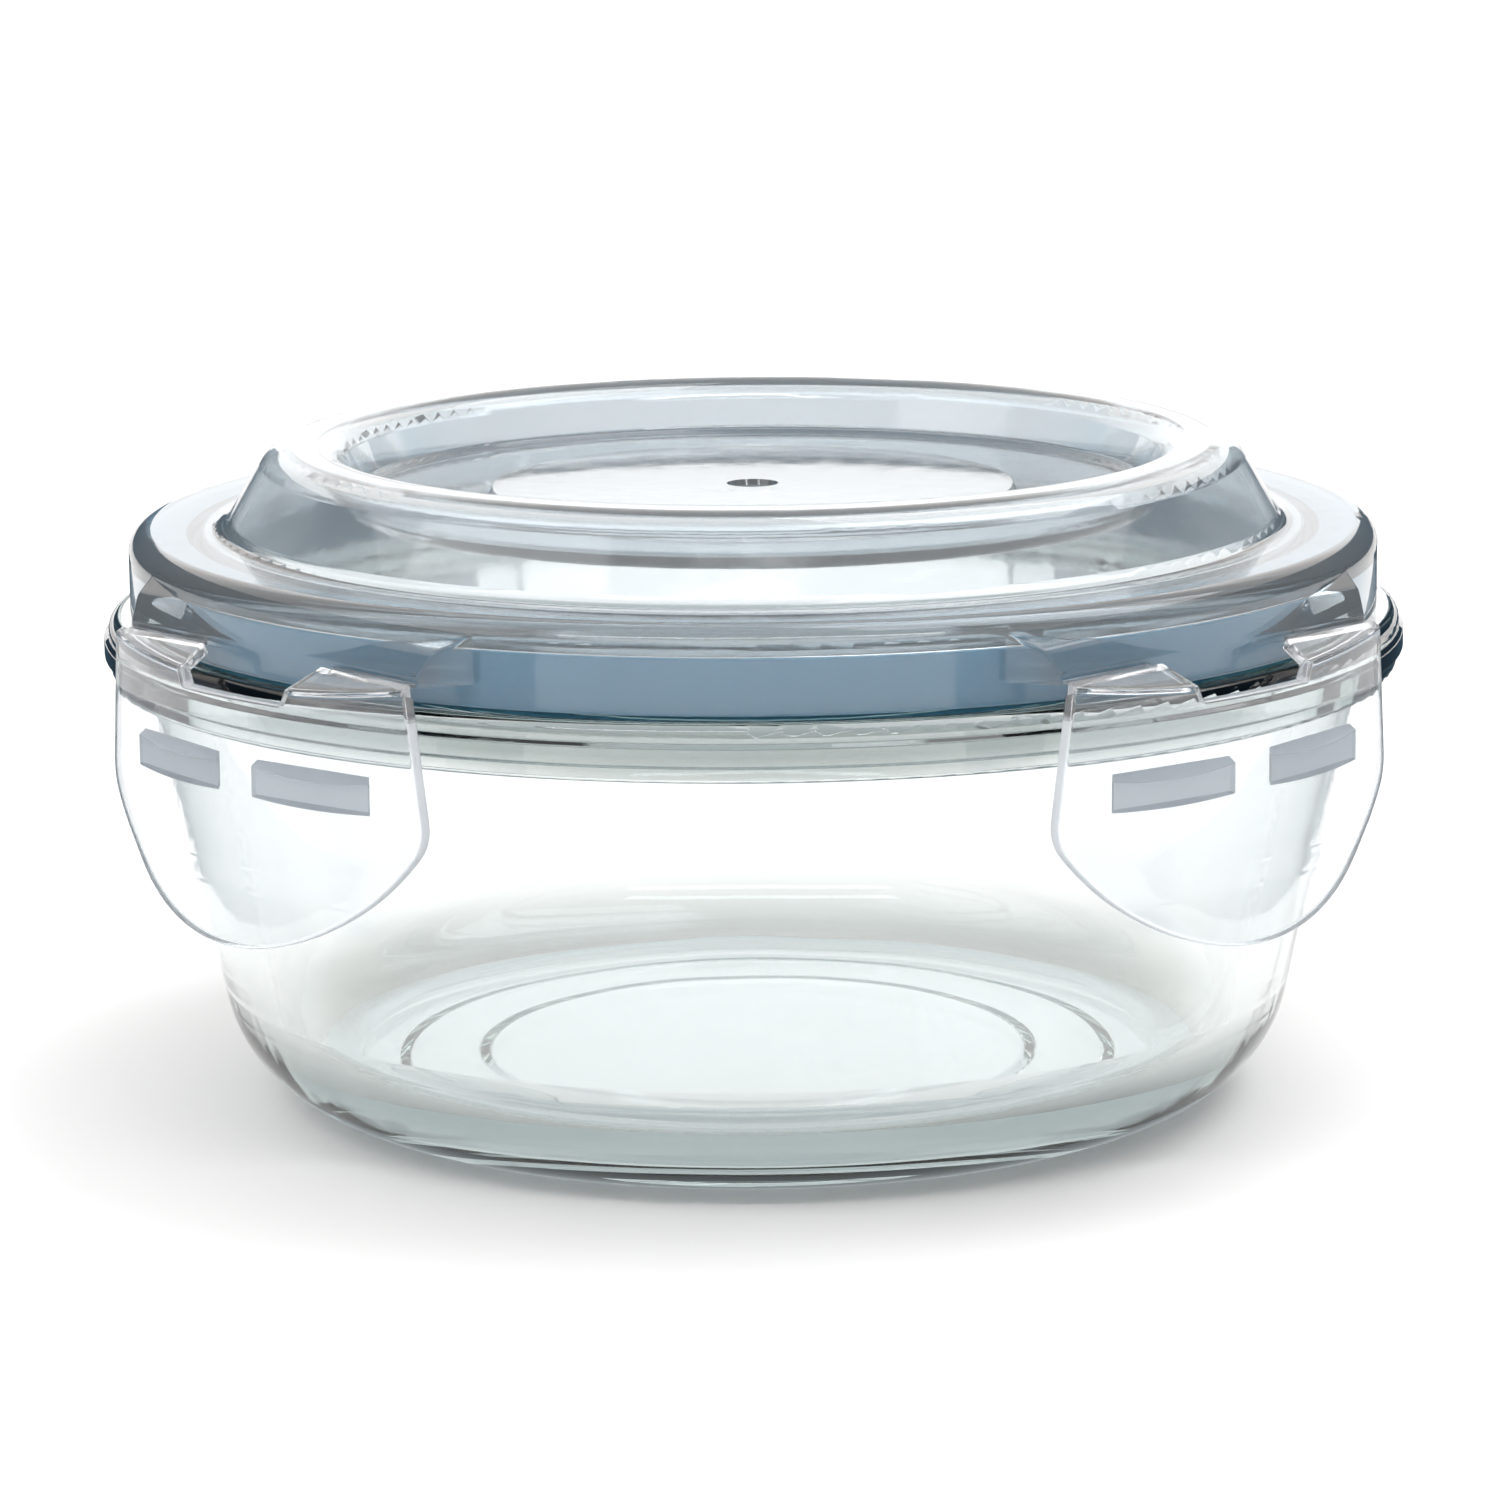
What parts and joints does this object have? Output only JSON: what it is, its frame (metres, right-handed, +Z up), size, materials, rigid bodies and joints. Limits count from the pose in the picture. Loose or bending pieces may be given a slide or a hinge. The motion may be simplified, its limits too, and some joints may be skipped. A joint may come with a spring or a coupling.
{
  "type": "glass storage container",
  "caption": "Round pressed-glass food container with a clear clip-down lid, silicone gasket and curved hinged latches that hook under the rim.",
  "frame": {"origin": "centre of the foot, on the surface that the container stands on", "axes": "+Z up along the bowl's axis; the four latches are on the diagonals, so -Y is a plain front between two latches"},
  "size_m": [0.1358, 0.1358, 0.0687],
  "materials": {
    "bowl_glass": "clear pressed glass, faint green in its thick edges",
    "lid_plastic": "clear polypropylene, smoky blue-grey where it is thick",
    "latch_plastic": "clear polypropylene, frosted edges",
    "gasket_silicone": "smooth blue silicone"
  },
  "bodies": {
    "bowl": {"glass_bowl": "bowl_glass"},
    "lid": {"lid_panel": "lid_plastic", "gasket": "gasket_silicone", "hinge_film_front_left_a": "latch_plastic", "hinge_film_front_left_b": "latch_plastic", "hinge_film_front_right_a": "latch_plastic", "hinge_film_front_right_b": "latch_plastic", "hinge_film_rear_right_a": "latch_plastic", "hinge_film_rear_right_b": "latch_plastic", "hinge_film_rear_left_a": "latch_plastic", "hinge_film_rear_left_b": "latch_plastic"},
    "latch_front_left": {"latch_front_left": "latch_plastic"},
    "latch_front_right": {"latch_front_right": "latch_plastic"},
    "latch_rear_right": {"latch_rear_right": "latch_plastic"},
    "latch_rear_left": {"latch_rear_left": "latch_plastic"}
  },
  "joints": [
    {"name": "lid_lift", "type": "slide", "parent": "bowl", "child": "lid", "axis": [0, 0, 1], "range_m": [0, 0.08]},
    {"name": "latch_front_left_swing", "type": "hinge", "parent": "lid", "child": "latch_front_left", "pos_m": [-0.04624, -0.04624, 0.0542], "axis": [-0.7071, 0.7071, 0], "range_deg": [-9, 105], "deforming": ["hinge_film_front_left_a", "hinge_film_front_left_b"]},
    {"name": "latch_front_right_swing", "type": "hinge", "parent": "lid", "child": "latch_front_right", "pos_m": [0.04624, -0.04624, 0.0542], "axis": [-0.7071, -0.7071, 0], "range_deg": [-9, 105], "deforming": ["hinge_film_front_right_a", "hinge_film_front_right_b"]},
    {"name": "latch_rear_right_swing", "type": "hinge", "parent": "lid", "child": "latch_rear_right", "pos_m": [0.04624, 0.04624, 0.0542], "axis": [0.7071, -0.7071, 0], "range_deg": [-9, 105], "deforming": ["hinge_film_rear_right_a", "hinge_film_rear_right_b"]},
    {"name": "latch_rear_left_swing", "type": "hinge", "parent": "lid", "child": "latch_rear_left", "pos_m": [-0.04624, 0.04624, 0.0542], "axis": [0.7071, 0.7071, 0], "range_deg": [-9, 105], "deforming": ["hinge_film_rear_left_a", "hinge_film_rear_left_b"]}
  ]
}
